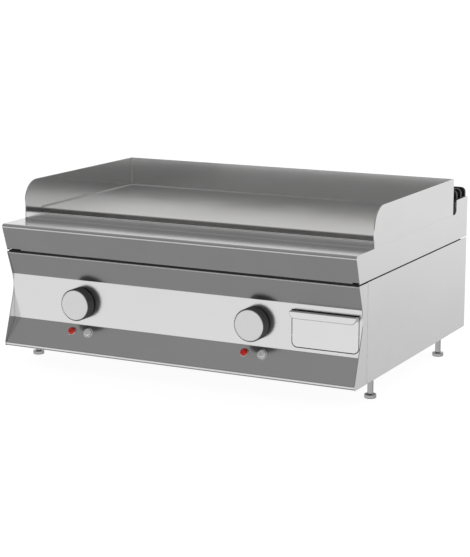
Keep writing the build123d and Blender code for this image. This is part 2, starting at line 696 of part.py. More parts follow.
def burner_feeds():
    """Tube from each valve up to its injector."""
    result = []
    for zone, x in enumerate(ZONE_X):
        valve_x = KNOB_X[zone] + FEED_SHIFT
        nose = BOX_FRONT - MIXER_OUT - NOZZLE_GAP - NOZZLE_LENGTH - INJECTOR_LENGTH
        level = y_at(FEED_DEPTH)
        route = [(valve_x, level, FEED_START), (valve_x, level, FEED_TURN),
                 (x, level, BURNER_HEIGHT), (x, y_at(nose), BURNER_HEIGHT)]
        result.append(pipe(route, FEED_BEND, FEED_RADIUS) - gas_valve(zone))
    return result


def pilot_burners():
    """Pilot nozzle, spark electrode and thermocouple on a bracket beside each burner."""
    result = []
    low = BOX_FLOOR + SHEET
    back = PILOT_FRONT + PILOT_SHEET
    for zone in ZONE_X:
        x = zone + PILOT_SHIFT
        piece = block(x - PILOT_HALF, x + PILOT_HALF, PILOT_FRONT, back, low,
                      BURNER_HEIGHT + PILOT_ABOVE)
        piece += block(x - PILOT_HALF, x + PILOT_HALF, PILOT_FOOT, back, low, low + PILOT_SHEET)
        for shift, radius, top in PILOT_RODS:
            place = Pos(x + shift, y_at(PILOT_FRONT - radius + FIT_GAP), 0)
            piece += place * rod(radius, BURNER_HEIGHT - PILOT_BELOW, BURNER_HEIGHT + top)
        result.append(piece)
    return result


# ---- igniter buttons and indicator lamps --------------------------------------------------

def control_plane(zone, shift):
    """Plane on the lower facet beside a knob's axis."""
    return slope_plane(KNOB_X[zone] + shift, FACET_G, FASCIA_NOSE, LOWER_DOWN)


def igniter_body(zone):
    """Round housing clipped into the lower facet, bored for the button."""
    body = rod(HOUSING_RADIUS, -HOUSING_DEPTH, 0)
    body += rod(HOUSING_RADIUS + HOUSING_FLANGE, 0, HOUSING_FLANGE)
    body -= rod(BUTTON_BORE, -HOUSING_DEPTH + HOUSING_FLOOR, HOUSING_FLANGE + 1)
    body -= rod(BUTTON_STEM + RUN_GAP, -HOUSING_DEPTH - 1, 0)
    return control_plane(zone, BUTTON_SHIFT) * body


def igniter_button(zone):
    """Round push button with a guide stem."""
    cap = rod(BUTTON_RADIUS, -BUTTON_SKIRT, BUTTON_PROUD)
    rim = cap.edges().filter_by(GeomType.CIRCLE).sort_by(Axis.Z)[-1]
    cap = fillet(rim, BEND)
    stem = rod(BUTTON_STEM, -HOUSING_DEPTH + 1, -BUTTON_SKIRT)
    return control_plane(zone, BUTTON_SHIFT) * (cap + stem)


def igniter_spring(zone):
    """Return spring round the button's stem, at its pressed length."""
    radius, wire = IGNITER_SPRING
    rear = -HOUSING_DEPTH + HOUSING_FLOOR
    front = -BUTTON_SKIRT - BUTTON_TRAVEL - SPRING_REST
    spring = coil(radius, wire, rear, front, SPRING_TURNS)
    return control_plane(zone, BUTTON_SHIFT) * spring


def lamp_bezel(zone):
    """Chromed ring and rear housing of the indicator lamp."""
    body = rod(BEZEL_RADIUS, 0, BEZEL_HEIGHT)
    rim = body.edges().filter_by(GeomType.CIRCLE).sort_by(Axis.Z)[-1]
    body = fillet(rim, BEZEL_HEIGHT / 2)
    body += rod(LENS_RADIUS + LAMP_WALL, -LAMP_DEPTH, 0)
    body -= rod(LENS_RADIUS, LENS_SEAT, BEZEL_HEIGHT + 1)
    body -= rod(LENS_RADIUS - 2 * LAMP_WALL, -LAMP_DEPTH + 2, BEZEL_HEIGHT + 1)
    return control_plane(zone, LAMP_SHIFT) * body


def lamp_lens(zone):
    """Domed red lens."""
    lens = rod(LENS_RADIUS - RUN_GAP, LENS_SEAT, LENS_PROUD)
    rim = lens.edges().filter_by(GeomType.CIRCLE).sort_by(Axis.Z)[-1]
    return control_plane(zone, LAMP_SHIFT) * fillet(rim, LENS_ROUND)


def terminal_box():
    """Supply terminals and spark generator, behind the drawer."""
    box = block(*TERMINAL_X, TERMINAL_FRONT, BACK_PANEL_FRONT, *TERMINAL_HEIGHTS)
    return fillet(box.edges().filter_by(Axis.Y), TERMINAL_ROUND)


def cable_gland():
    """Cable entry through the back panel."""
    back = BACK_PANEL_FRONT + SHEET
    place = Plane(origin=(GLAND_X, y_at(back), GLAND_HEIGHT), z_dir=(0, 1, 0))
    body = rod(GLAND_STEM, -SHEET, GLAND_HEX_LENGTH)
    body += extrude(RegularPolygon(GLAND_HEX, 6), GLAND_HEX_LENGTH)
    body += rod(GLAND_DOME, GLAND_HEX_LENGTH, GLAND_LENGTH)
    return place * (body - rod(GLAND_BORE, -SHEET - 1, GLAND_LENGTH + 1))


# ---- grease drawer ------------------------------------------------------------------------
def middle_plane(x, down):
    """Plane on the middle facet at one X and a distance down it."""
    return slope_plane(x, FACET_F, FACET_G, down)


def drawer_outline(grow):
    """Face of the drawer front on the middle facet, grown by a margin."""
    x0, x1 = DRAWER_X
    height = DRAWER_BOTTOM_DOWN - DRAWER_TOP_DOWN
    face = Rectangle(x1 - x0 + 2 * grow, height + 2 * grow)
    low_corners = face.vertices().group_by(Axis.Y)[0]
    return fillet(low_corners, DRAWER_CORNER + grow)


def drawer_middle():
    """Plane at the centre of the drawer front."""
    return middle_plane(sum(DRAWER_X) / 2, (DRAWER_TOP_DOWN + DRAWER_BOTTOM_DOWN) / 2)


def drawer_front():
    """Flush front plate with rounded lower corners."""
    return drawer_middle() * (Pos(0, 0, -SHEET) * extrude(drawer_outline(0), SHEET))


def drawer_handle():
    """Shelf folded off the front's top edge with a turned-down lip."""
    x0, x1 = DRAWER_X
    width = x1 - x0
    shelf = Pos(0, -SHEET / 2, HANDLE_REACH / 2) * Box(width, SHEET, HANDLE_REACH)
    lip = Pos(0, -HANDLE_LIP / 2) * Rectangle(width, HANDLE_LIP)
    low_corners = lip.vertices().group_by(Axis.Y)[0]
    lip = fillet(low_corners, HANDLE_CORNER)
    lip = Pos(0, 0, HANDLE_REACH - SHEET) * extrude(lip, SHEET)
    handle = shelf + lip
    outer = handle.faces().sort_by(Axis.Z)[-1]
    handle = fillet(outer.edges(), HANDLE_ROUND)
    return middle_plane((x0 + x1) / 2, DRAWER_TOP_DOWN) * handle


def drawer_box():
    """Grease pan behind the drawer front, with side flanges on the runners."""
    x0 = DRAWER_X[0] + DRAWER_PAN_INSET
    x1 = DRAWER_X[1] - DRAWER_PAN_INSET
    low = DRAWER_PAN_BOTTOM
    high = DRAWER_PAN_TOP
    wall = DRAWER_WALL
    front = FACET_G[0] + SHEET + RUN_GAP
    back = FACET_G[0] + DRAWER_LENGTH
    pan = block(x0, x1, front, back, low, high)
    pan -= block(x0 + wall, x1 - wall, front + wall, back - wall, low + wall, high + 1)
    flange_front = FACET_G[0] + 10
    pan += block(x0 - DRAWER_FLANGE, x0, flange_front, back, high - wall, high)
    pan += block(x1, x1 + DRAWER_FLANGE, flange_front, back, high - wall, high)
    return pan


def drawer_runners():
    """Two angle rails that carry the pan's side flanges."""
    top = DRAWER_PAN_TOP - DRAWER_WALL - MOVE_GAP
    ends = (RUNNER_FRONT, RUNNER_BACK)
    ledge = top - RUNNER_THICKNESS
    pan_right = DRAWER_X[1] - DRAWER_PAN_INSET + RUNNER_CLEAR
    right = block(pan_right, INNER_X, *ends, ledge, top)
    right += block(INNER_X - SHEET, INNER_X, *ends, top - RUNNER_DROP, top)
    pan_left = DRAWER_X[0] + DRAWER_PAN_INSET - RUNNER_CLEAR
    post = pan_left - RUNNER_LEDGE
    left = block(post, pan_left, *ends, ledge, top)
    left += block(post - SHEET, post, *ends, FOOT_HEIGHT + SHEET, top)
    return [left, right]


# ---- cabinet ------------------------------------------------------------------------------
def fascia():
    """Three-facet control panel with a rolled lower nose, one folded sheet."""
    under = (FASCIA_UNDER, FOOT_HEIGHT)
    toe = (FASCIA_NOSE[0], FOOT_HEIGHT)
    fold = (RETURN_DEPTH, FASCIA_TOP[1])
    path = [fold, FASCIA_TOP, FACET_F, FACET_G, FASCIA_NOSE, toe, under]
    panel = folded_sheet(path, FASCIA_BENDS, Side.LEFT, -INNER_X, INNER_X)
    deep = 4 * SHEET
    for zone in (0, 1):
        panel -= knob_plane(zone) * rod(SHAFT_RADIUS + SHEET, -deep, deep)
        panel -= control_plane(zone, BUTTON_SHIFT) * rod(HOUSING_RADIUS, -deep, deep)
        panel -= control_plane(zone, LAMP_SHIFT) * rod(LENS_RADIUS + LAMP_WALL, -deep, deep)
    opening = Pos(0, 0, -deep) * extrude(drawer_outline(DRAWER_GAP), 2 * deep)
    return panel - drawer_middle() * opening


def cheek():
    """Right-hand front end plate with a waisted front edge."""
    plate = across(outline([CHEEK_HEAD, CHEEK_WAIST, CHEEK_TOE, CHEEK_SOLE,
                            (CHEEK_BACK, FOOT_HEIGHT), (CHEEK_BACK, CHEEK_TOP)]),
                   INNER_X, HALF_W)
    for corner, radius in ((CHEEK_WAIST, CHEEK_ROUND), (CHEEK_TOE, TOE_ROUND)):
        near = (INNER_X, y_at(corner[0]), corner[1])
        edge = plate.edges().filter_by(Axis.X).sort_by_distance(near)[0]
        plate = fillet(edge, radius)
    return plate


def side_panel():
    """Right-hand cabinet side with a return flange at its foot."""
    panel = block(INNER_X, HALF_W, CHEEK_BACK + CHEEK_GAP, DEPTH, FOOT_HEIGHT, CABINET_TOP)
    flange_front = BACK_PANEL_FRONT + SHEET + 2
    return panel + block(INNER_X - SIDE_FLANGE, INNER_X, flange_front, DEPTH,
                         FOOT_HEIGHT, FOOT_HEIGHT + SHEET)


def bottom_panel():
    """Floor of the cabinet with holes for the feet and air slots."""
    panel = block(-INNER_X, INNER_X, FLOOR_FRONT, BACK_PANEL_FRONT,
                  FOOT_HEIGHT, FOOT_HEIGHT + SHEET)
    hole = rod(STUD_RADIUS + FOOT_HOLE_CLEAR, FOOT_HEIGHT - 1, FOOT_HEIGHT + SHEET + 1)
    for x in (-FOOT_X, FOOT_X):
        for depth in FOOT_DEPTHS:
            panel -= Pos(x, y_at(depth), 0) * hole
    for index in range(FLOOR_SLOTS):
        x = FLOOR_SLOT_START + index * FLOOR_SLOT_PITCH
        panel -= block(x, x + FLOOR_SLOT_WIDTH, *FLOOR_SLOT_DEPTHS,
                       FOOT_HEIGHT - 1, FOOT_HEIGHT + SHEET + 1)
    return panel


def back_panel():
    """Recessed rear panel with louvre slots and holes for the gas pipe and cable gland."""
    front = BACK_PANEL_FRONT
    panel = block(-INNER_X, INNER_X, front, front + SHEET, FOOT_HEIGHT, CABINET_TOP)
    holes = ((INLET_RUN_X, INLET_HEIGHT, INLET_RADIUS + 2), (GLAND_X, GLAND_HEIGHT, GLAND_STEM))
    for x, height, radius in holes:
        place = Plane(origin=(x, y_at(front), height), z_dir=(0, 1, 0))
        panel -= place * rod(radius, -1, SHEET + 1)
    for row in range(LOUVRE_ROWS):
        height = LOUVRE_START[1] + row * LOUVRE_PITCH[1]
        for column in range(LOUVRE_COLUMNS):
            x = LOUVRE_START[0] + column * LOUVRE_PITCH[0]
            panel -= block(x, x + LOUVRE_SIZE[0], front - 1, front + SHEET + 1,
                           height, height + LOUVRE_SIZE[1])
    return panel


def back_screws():
    """Pan-head screws of the recessed back panel."""
    head = rod(SCREW_RADIUS, 0, SCREW_HEIGHT)
    rim = head.edges().filter_by(GeomType.CIRCLE).sort_by(Axis.Z)[-1]
    head = fillet(rim, SCREW_ROUND)
    length, width, depth = SCREW_SLOT
    top = Pos(0, 0, SCREW_HEIGHT - depth / 4)
    head -= top * Box(length, width, depth)
    head -= top * Box(width, length, depth)
    result = []
    for x in SCREW_X:
        for height in SCREW_HEIGHTS:
            spot = (x, y_at(BACK_PANEL_FRONT + SHEET), height)
            result.append(Plane(origin=spot, z_dir=(0, 1, 0)) * head)
    return result


def spacer_frame():
    """Recessed frame between cabinet and upper module, seen as a dark shadow gap."""
    half = SPACER_HALF_X
    high = DUCT_BOTTOM - FIT_GAP
    wall = SPACER_WALL
    frame = block(-half, half, SPACER_FRONT, SPACER_BACK, SPACER_BOTTOM, high)
    frame -= block(-half + wall, half - wall, SPACER_FRONT + wall, SPACER_BACK - wall,
                   SPACER_BOTTOM - 1, high + 1)
    return frame + block(-half, half, SPACER_TONGUE, SPACER_FRONT + wall,
                         FASCIA_TOP[1] + FIT_GAP, MODULE_BOTTOM - FIT_GAP)


def foot(x, depth):
    """Levelling foot: threaded stud with a round base disc, shown screwed fully in."""
    disc = rod(DISC_RADIUS, 0, DISC_HEIGHT)
    rims = disc.edges().filter_by(GeomType.CIRCLE)
    disc = fillet(rims, DISC_ROUND)
    return Pos(x, y_at(depth), 0) * (disc + rod(STUD_RADIUS, DISC_HEIGHT, STUD_TOP))


def foot_nuts():
    """Weld nut above the floor panel for each foot."""
    base = FOOT_HEIGHT + SHEET
    nut = Pos(0, 0, base) * extrude(RegularPolygon(NUT_RADIUS, 6), NUT_HEIGHT)
    nut -= rod(STUD_RADIUS + RUN_GAP, base - 1, base + NUT_HEIGHT + 1)
    result = []
    for x in (-FOOT_X, FOOT_X):
        for depth in FOOT_DEPTHS:
            result.append(Pos(x, y_at(depth), 0) * nut)
    return result


# ---- all nodes ----------------------------------------------------------------------------
def collect():
    """Every node of the griddle, by name."""
    parts = {
        "top_sheet": top_sheet(),
        "grease_trough": grease_trough(),
        "griddle_plate": griddle_plate(),
        "splash_guard": splash_guard(),
        "upper_side_right": upper_side(),
        "upper_back": upper_back(),
        "flue_duct": flue_duct(),
        "flue_grille": flue_grille(),
        "burner_box": burner_box(),
        "burner_left": burner(ZONE_X[0]),
        "burner_right": burner(ZONE_X[1]),
        "injectors": injectors(),
        "gas_manifold": gas_manifold(),
        "gas_inlet_pipe": gas_inlet_pipe(),
        "thermostat_bulbs": thermostat_bulbs(),
        "burner_feeds": burner_feeds(),
        "pilot_burners": pilot_burners(),
        "terminal_box": terminal_box(),
        "cable_gland": cable_gland(),
        "drawer_box": drawer_box(),
        "drawer_front": drawer_front(),
        "drawer_handle": drawer_handle(),
        "drawer_runners": drawer_runners(),
        "fascia": fascia(),
        "cheek_right": cheek(),
        "side_panel_right": side_panel(),
        "bottom_panel": bottom_panel(),
        "back_panel": back_panel(),
        "back_screws": back_screws(),
        "spacer_frame": spacer_frame(),
        "foot_nuts": foot_nuts(),
    }
    for name in ("upper_side", "cheek", "side_panel"):
        parts[name + "_left"] = mirrored(parts[name + "_right"])
    makers = {
        "gas_valve": gas_valve, "valve_plunger": plunger, "valve_spring": valve_spring,
        "knob_shaft": knob_shaft, "knob": knob, "knob_cap": knob_cap,
        "igniter_body": igniter_body, "igniter_button": igniter_button,
        "igniter_spring": igniter_spring, "lamp_bezel": lamp_bezel, "lamp_lens": lamp_lens,
    }
    for name, maker in makers.items():
        for side, zone in ZONES:
            parts[name + "_" + side] = maker(zone)
    for side, sign in SIDES:
        parts["foot_front_" + side] = foot(sign * FOOT_X, FOOT_DEPTHS[0])
        parts["foot_rear_" + side] = foot(sign * FOOT_X, FOOT_DEPTHS[1])
    return parts


def main():
    """Write one STEP file per node."""
    os.makedirs("parts", exist_ok=True)
    for name, shape in collect().items():
        if isinstance(shape, (list, ShapeList)):
            shape = Compound(children=list(shape))
        export_step(shape, "parts/" + name + ".step")


main()
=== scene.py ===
"""Looks of the countertop flat top griddle: camera, light, materials and small visible pieces.

Metres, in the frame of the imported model: +Z up, +X to the right, front towards -Y.
"""
import json
import math

import bmesh
import bpy
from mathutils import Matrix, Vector


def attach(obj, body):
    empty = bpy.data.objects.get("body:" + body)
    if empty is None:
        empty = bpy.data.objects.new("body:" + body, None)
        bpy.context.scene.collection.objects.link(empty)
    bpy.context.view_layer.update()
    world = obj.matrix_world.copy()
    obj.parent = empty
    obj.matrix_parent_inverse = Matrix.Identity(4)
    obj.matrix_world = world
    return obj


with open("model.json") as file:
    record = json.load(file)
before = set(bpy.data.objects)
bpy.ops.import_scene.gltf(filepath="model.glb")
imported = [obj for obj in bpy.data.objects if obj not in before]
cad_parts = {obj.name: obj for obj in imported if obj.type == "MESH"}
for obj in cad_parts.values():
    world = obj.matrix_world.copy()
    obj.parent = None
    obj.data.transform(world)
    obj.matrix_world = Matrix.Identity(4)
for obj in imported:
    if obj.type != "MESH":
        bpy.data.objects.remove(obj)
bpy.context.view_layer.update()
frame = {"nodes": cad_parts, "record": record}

# ---- camera -------------------------------------------------------------------------------
CAMERA_PLACE = (1.579, -3.096, 0.8719)
CAMERA_YAW = 27.21            # degrees to the right of straight in front
CAMERA_PITCH = 11.49          # degrees below the horizon
CAMERA_LENS = 106.65          # millimetres, on a sensor of the width below
CAMERA_SENSOR = 36.0
CAMERA_REACH = 200.0          # how far it sees


def make_camera():
    """Camera at the viewing angle of the reference, with no shift."""
    data = bpy.data.cameras.new("camera")
    data.lens = CAMERA_LENS
    data.sensor_width = CAMERA_SENSOR
    camera = bpy.data.objects.new("camera", data)
    camera.location = CAMERA_PLACE
    camera.rotation_euler = (math.radians(90 - CAMERA_PITCH), 0, math.radians(CAMERA_YAW))
    data.clip_end = CAMERA_REACH
    bpy.context.scene.collection.objects.link(camera)
    bpy.context.scene.camera = camera


# ---- node helpers -------------------------------------------------------------------------
class Graph:
    """Short way to add and join the nodes of one shader tree."""

    def __init__(self, tree):
        self.tree = tree
        tree.nodes.clear()

    def add(self, kind, **values):
        """New node; keyword values set its properties."""
        node = self.tree.nodes.new(kind)
        for key, value in values.items():
            setattr(node, key, value)
        return node

    def join(self, out, into):
        """Link two sockets."""
        self.tree.links.new(out, into)

    def maths(self, operation, first, second=None, third=None):
        """Math node on sockets or numbers; returns its output."""
        node = self.add("ShaderNodeMath", operation=operation)
        for index, value in enumerate((first, second, third)):
            if isinstance(value, (int, float)):
                node.inputs[index].default_value = value
            elif value is not None:
                self.join(value, node.inputs[index])
        return node.outputs[0]

    def remap(self, factor, from_range, to_range=(0.0, 1.0), smooth=False):
        """Factor mapped from one range onto another; returns its output."""
        node = self.add("ShaderNodeMapRange")
        if smooth:
            node.interpolation_type = "SMOOTHSTEP"
        for word, (low, high) in (("From", from_range), ("To", to_range)):
            node.inputs[f"{word} Min"].default_value = low
            node.inputs[f"{word} Max"].default_value = high
        self.join(factor, node.inputs["Value"])
        return node.outputs["Result"]

    def blend_colour(self, factor, first, second, mode="MIX"):
        """Mix of two colours or sockets by a factor."""
        mix = self.add("ShaderNodeMix", data_type="RGBA", blend_type=mode)
        for socket, value in (("Factor", factor), ("A", first), ("B", second)):
            target = [i for i in mix.inputs if i.name == socket and i.enabled][0]
            if isinstance(value, (int, float)):
                target.default_value = value
            elif isinstance(value, tuple):
                target.default_value = (*value, 1.0)
            else:
                self.join(value, target)
        return [o for o in mix.outputs if o.enabled][0]

    def ramp(self, factor, stops, interpolation="LINEAR"):
        """Colour ramp of (position, grey or colour) stops; returns its colour output."""
        node = self.add("ShaderNodeValToRGB")
        node.color_ramp.interpolation = interpolation
        elements = node.color_ramp.elements
        while len(elements) < len(stops):
            elements.new(0.5)
        for element, (position, value) in zip(elements, stops):
            element.position = position
            colour = (value,) * 3 if isinstance(value, (int, float)) else value
            element.color = (*colour, 1.0)
        self.join(factor, node.inputs[0])
        return node.outputs[0]


# ---- light --------------------------------------------------------------------------------
# brightness of the surroundings in front and behind, by degrees above the horizon
FRONT_LIGHT = ((-90, 0.26), (-36, 0.26), (-27, 0.42), (-21, 0.85), (-14, 0.93), (-7, 0.86),
               (0, 0.4), (7, 0.22), (24, 0.22), (45, 0.27), (90, 0.3))
BACK_LIGHT = ((-90, 0.27), (-45, 0.3), (-20, 0.52), (-14, 0.66), (-9, 0.86), (0, 0.95),
              (14, 0.88), (28, 0.62), (60, 0.3), (90, 0.3))
LIGHT_TURN = 0.25             # half width of the blend between front and back


def elevation_stops(levels):
    """Ramp stops of brightness by elevation, which the ramp holds as a height from 0 to 1."""
    return [(0.5 + 0.5 * math.sin(math.radians(elevation)), value)
            for elevation, value in levels]


def make_world():
    """Soft studio surroundings: bright low walls, dim floor and ceiling."""
    world = bpy.data.worlds.new("studio")
    bpy.context.scene.world = world
    world.use_nodes = True
    graph = Graph(world.node_tree)
    place = graph.add("ShaderNodeTexCoord")
    axes = graph.add("ShaderNodeSeparateXYZ")
    graph.join(place.outputs["Generated"], axes.inputs[0])
    height = graph.maths("MULTIPLY_ADD", axes.outputs["Z"], 0.5, 0.5)
    front = graph.ramp(height, elevation_stops(FRONT_LIGHT), "EASE")
    back = graph.ramp(height, elevation_stops(BACK_LIGHT), "EASE")
    side = graph.remap(axes.outputs["Y"], (-LIGHT_TURN, LIGHT_TURN), smooth=True)
    background = graph.add("ShaderNodeBackground")
    graph.join(graph.blend_colour(side, front, back), background.inputs["Color"])
    output = graph.add("ShaderNodeOutputWorld")
    graph.join(background.outputs[0], output.inputs["Surface"])


FLOOR_SIZE = 160.0
FLOOR_COLOUR = (0.35, 0.35, 0.35, 1)
FLOOR_ROUGHNESS = 0.9
FLOOR_GLOW = 0.9              # keeps the floor white to the horizon


def make_floor():
    """Plain white floor, which the steel doesn't mirror."""
    bpy.ops.mesh.primitive_plane_add(size=FLOOR_SIZE)
    floor = bpy.context.object
    floor.name = "floor"
    floor.visible_glossy = False
    material = bpy.data.materials.new("floor_white")
    material.use_nodes = True
    graph = Graph(material.node_tree)
    shader = graph.add("ShaderNodeBsdfPrincipled")
    shader.inputs["Base Color"].default_value = FLOOR_COLOUR
    shader.inputs["Roughness"].default_value = FLOOR_ROUGHNESS
    shader.inputs["Emission Color"].default_value = (1, 1, 1, 1)
    shader.inputs["Emission Strength"].default_value = FLOOR_GLOW
    output = graph.add("ShaderNodeOutputMaterial")
    graph.join(shader.outputs[0], output.inputs[0])
    floor.data.materials.append(material)


# ---- materials ----------------------------------------------------------------------------
EDGE_ROUND = 0.0009           # how wide the softened edges are, whose lightening is partly wear and partly painted highlight
EDGE_SAMPLES = 4
WEAR_AND_HIGHLIGHT_RANGE = (0.75, 0.97)     # agreement of soft and true normal: fully worn and highlighted to untouched
PAINTED_SHADE_REACH = 0.004          # how far the painted shade reaches out of a joint
PAINTED_SHADE_SAMPLES = 8
PAINTED_SHADE_RANGE = (0.15, 0.75)   # openness: deepest painted shade to none
BUMP_HEIGHT = 0.0002
NOISE_ROUGHNESS = 0.65
NOISE_RANGE = (0.3, 0.7)      # where nearly all of a noise's values lie
FINE_GRAIN = 30               # noise scales, per metre
SMEARS = 7


class Finish:
    """One material: object coordinates, a principled shader and its output."""

    def __init__(self, name, metallic):
        self.material = bpy.data.materials.new(name)
        self.material.use_nodes = True
        self.graph = Graph(self.material.node_tree)
        self.place = self.graph.add("ShaderNodeTexCoord")
        self.shader = self.graph.add("ShaderNodeBsdfPrincipled")
        self.shader.inputs["Metallic"].default_value = metallic
        output = self.graph.add("ShaderNodeOutputMaterial")
        self.graph.join(self.shader.outputs[0], output.inputs[0])

    def noise(self, scale, detail, stretch=(1, 1, 1)):
        """Noise in object space, drawn out by a stretch per axis."""
        mapping = self.graph.add("ShaderNodeMapping")
        mapping.inputs["Scale"].default_value = stretch
        self.graph.join(self.place.outputs["Object"], mapping.inputs["Vector"])
        noise = self.graph.add("ShaderNodeTexNoise")
        noise.inputs["Scale"].default_value = scale
        noise.inputs["Detail"].default_value = detail
        noise.inputs["Roughness"].default_value = NOISE_ROUGHNESS
        self.graph.join(mapping.outputs[0], noise.inputs["Vector"])
        return noise.outputs[0]

    def vary(self, noise, middle, share):
        """Value that a noise moves by a share to either side of its middle."""
        return self.graph.remap(noise, NOISE_RANGE, (middle * (1 - share), middle * (1 + share)))

    def edge_wear_and_highlight(self, normal):
        """Mask of the edges lightened as wear and painted highlight: where the softened normal
        leaves the true one.
        """
        geometry = self.graph.add("ShaderNodeNewGeometry")
        dot = self.graph.add("ShaderNodeVectorMath", operation="DOT_PRODUCT")
        self.graph.join(normal, dot.inputs[0])
        self.graph.join(geometry.outputs["True Normal"], dot.inputs[1])
        return self.graph.remap(dot.outputs["Value"], WEAR_AND_HIGHLIGHT_RANGE, (1.0, 0.0))

    def finish(self, colour, roughness, height, bump, painted_shade, wear_and_highlight):
        """Join colour, roughness and bump, with edges lightened as wear and painted highlight,
        and painted shade in the creases.
        """
        graph = self.graph
        bevel = graph.add("ShaderNodeBevel", samples=EDGE_SAMPLES)
        bevel.inputs["Radius"].default_value = EDGE_ROUND
        # painted highlight and wear: base colour lightened towards the edge colour along softened
        # edges
        colour = graph.blend_colour(self.edge_wear_and_highlight(bevel.outputs[0]), colour, wear_and_highlight)
        # painted shade: ambient occlusion darkens the base colour in creases, joints and under
        # parts
        shade = graph.add("ShaderNodeAmbientOcclusion", samples=PAINTED_SHADE_SAMPLES)
        shade.inputs["Distance"].default_value = PAINTED_SHADE_REACH
        painted_shade_factor = graph.remap(shade.outputs["AO"], PAINTED_SHADE_RANGE, (1.0 - painted_shade, 1.0))
        colour = graph.blend_colour(1.0, colour, painted_shade_factor, "MULTIPLY")
        graph.join(colour, self.shader.inputs["Base Color"])
        graph.join(roughness, self.shader.inputs["Roughness"])
        node = graph.add("ShaderNodeBump")
        node.inputs["Strength"].default_value = bump
        node.inputs["Distance"].default_value = BUMP_HEIGHT
        graph.join(height, node.inputs["Height"])
        graph.join(bevel.outputs[0], node.inputs["Normal"])
        graph.join(node.outputs[0], self.shader.inputs["Normal"])
        return self.material


WHITE = (1, 1, 1)
WORN_AND_HIGHLIGHT_METAL = 1.15             # how much lighter metal is along its edges, as wear and painted highlight


def toned(tone, factor, tint=WHITE):
    """Grey of a tone and tint, a little darker or lighter by a factor."""
    return tuple(min(1.0, tone * part * factor) for part in tint)


def steel(name, tone, roughness, grain=(1, 40, 40), bump=0.02, tint=WHITE, vary=0.03,
          painted_shade=0.45):
    """Rolled sheet: fine grain along one axis, faint smears, edges lightened as wear and painted
    highlight, and painted shade in creases.
    """
    made = Finish(name, 1.0)
    lines = made.noise(FINE_GRAIN, 6, grain)
    smears = made.noise(SMEARS, 3)
    half = made.graph.maths("MULTIPLY", smears, 0.5)
    mixed = made.graph.maths("MULTIPLY_ADD", lines, 0.5, half)
    colour = made.graph.ramp(mixed, [(0.35, toned(tone, 1 - vary, tint)),
                                     (0.65, toned(tone, 1 + vary, tint))])
    rough = made.vary(mixed, roughness, 0.12)
    # finish paints shade into creases and lightens edges as wear and painted highlight
    return made.finish(colour, rough, lines, bump, painted_shade, toned(tone, WORN_AND_HIGHLIGHT_METAL, tint))


def cooking_plate(name, tone, roughness):
    """Ground plate: grain along X, cross scratches of the scraper and heat tint patches."""
    made = Finish(name, 1.0)
    lines = made.noise(FINE_GRAIN, 6, (1, 45, 45))
    scratches = made.noise(55, 2, (30, 1.2, 30))
    fine = made.graph.ramp(scratches, [(0.60, 0.0), (0.66, 1.0), (0.72, 0.0)])
    patches = made.noise(5, 4)
    colour = made.graph.ramp(patches, [(0.3, toned(tone, 0.95, (1, 0.985, 0.965))),
                                       (0.7, toned(tone, 1.03))])
    colour = made.graph.blend_colour(made.graph.maths("MULTIPLY", fine, 0.12), colour,
                                     toned(tone, 0.7))
    rough = made.vary(patches, roughness, 0.15)
    height = made.graph.maths("MULTIPLY_ADD", scratches, 0.4, lines)
    # finish paints shade into creases and lightens edges as wear and painted highlight
    return made.finish(colour, rough, height, 0.03, 0.2, toned(tone, WORN_AND_HIGHLIGHT_METAL))


def spun_disc(name, tone, roughness):
    """Turned disc: rings round its centre, in the plane of the fascia."""
    made = Finish(name, 1.0)
    graph = made.graph
    axes = graph.add("ShaderNodeSeparateXYZ")
    graph.join(made.place.outputs["Generated"], axes.inputs[0])
    across = graph.maths("SUBTRACT", axes.outputs["X"], 0.5)
    up = graph.maths("SUBTRACT", axes.outputs["Z"], 0.5)
    square = graph.maths("MULTIPLY_ADD", across, across, graph.maths("MULTIPLY", up, up))
    radius = graph.maths("SQRT", square)
    ring_noise = graph.add("ShaderNodeTexNoise", noise_dimensions="1D")
    ring_noise.inputs["Scale"].default_value = 140
    ring_noise.inputs["Detail"].default_value = 4
    graph.join(radius, ring_noise.inputs["W"])
    rings = ring_noise.outputs[0]
    colour = graph.ramp(rings, [(0.3, toned(tone, 0.985)), (0.7, toned(tone, 1.015))])
    rough = made.vary(rings, roughness, 0.1)
    # finish paints shade into creases and lightens edges as wear and painted highlight
    return made.finish(colour, rough, rings, 0.008, 0.3, toned(tone, 1.1))


def moulded(name, colour, roughness, speckle=400, bump=0.15, wear_and_highlight=1.6, **shader_values):
    """Moulded, cast or painted skin with a fine texture, edges lightened as rubbed wear and
    painted highlight, and painted shade in creases.
    """
    made = Finish(name, 0.0)
    grain = made.noise(speckle, 4)
    tone = made.graph.ramp(grain, [(0.35, toned(1, 0.86, colour)),
                                   (0.65, toned(1, 1.14, colour))])
    rough = made.vary(grain, roughness, 0.15)
    for key, value in shader_values.items():
        made.shader.inputs[key.replace("_", " ").title()].default_value = value
    # finish paints shade into creases and lightens edges as wear and painted highlight
    return made.finish(tone, rough, grain, bump, 0.4, toned(1, wear_and_highlight, colour))


EVEN = (1, 1, 1)              # grain with no direction

